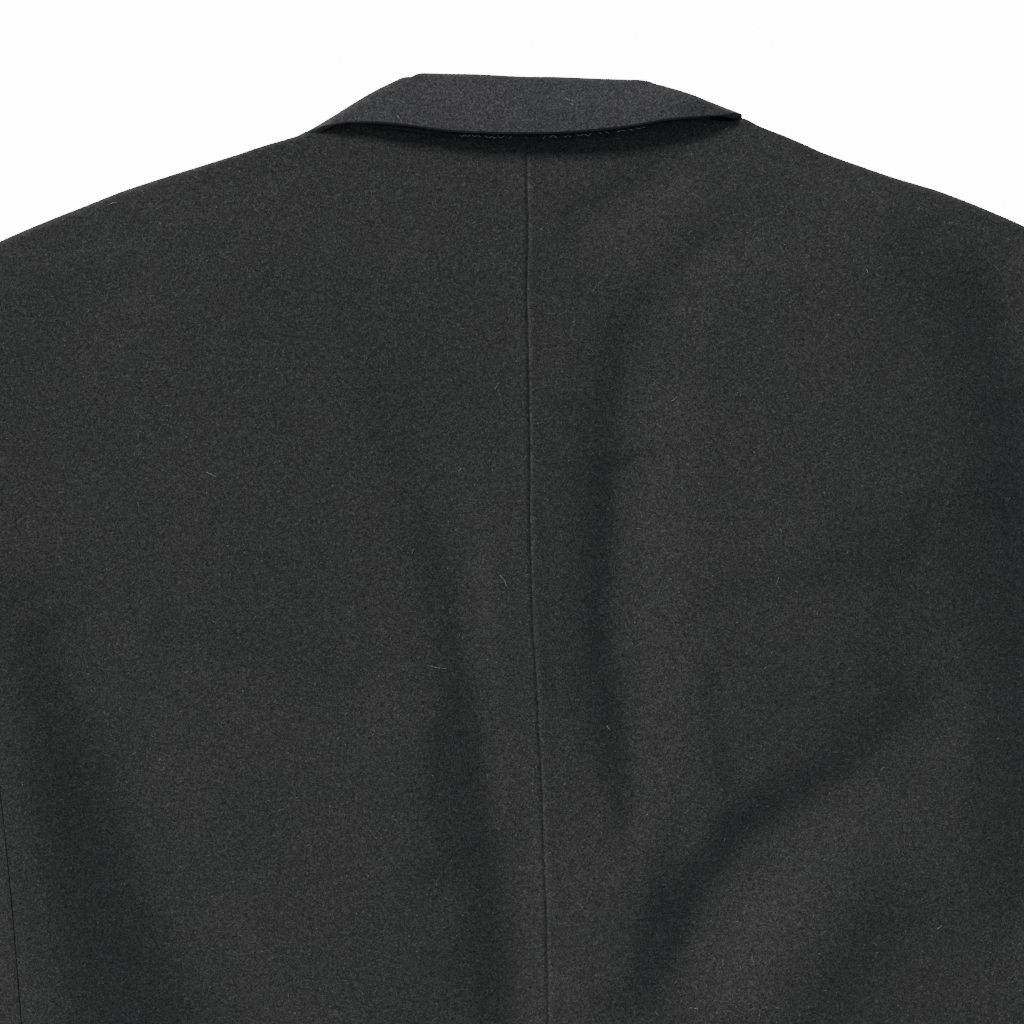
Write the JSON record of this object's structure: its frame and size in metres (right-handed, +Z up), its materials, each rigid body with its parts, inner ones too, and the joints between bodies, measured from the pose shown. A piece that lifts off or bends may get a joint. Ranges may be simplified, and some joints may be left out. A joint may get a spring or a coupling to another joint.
{
  "type": "tailored jacket laid flat, back up",
  "caption": "Tailored jacket of black wool melton lying face down: back, sides, fronts, lapels, folded collar and two-piece sleeves.",
  "frame": {"origin": "on the surface that the jacket lies on, under the middle of its box", "axes": "+Z up from the surface, +Y towards the collar, +X to the wearer's right, which is the right of the picture"},
  "size_m": [1.1802, 0.7772, 0.016],
  "materials": {
    "melton": "milled wool with a soft short nap",
    "undercollar_felt": "dense felt",
    "button": "satin"
  },
  "bodies": {
    "root": {"back_left": "melton", "back_right": "melton", "side_left": "melton", "side_right": "melton", "front_left": "melton", "front_right": "melton", "lapel_left": "melton", "lapel_right": "melton", "topsleeve_left": "melton", "topsleeve_right": "melton", "undersleeve_left": "melton", "undersleeve_right": "melton", "collar": "melton", "undercollar": "undercollar_felt", "button_1": "button", "button_2": "button"}
  },
  "joints": []
}
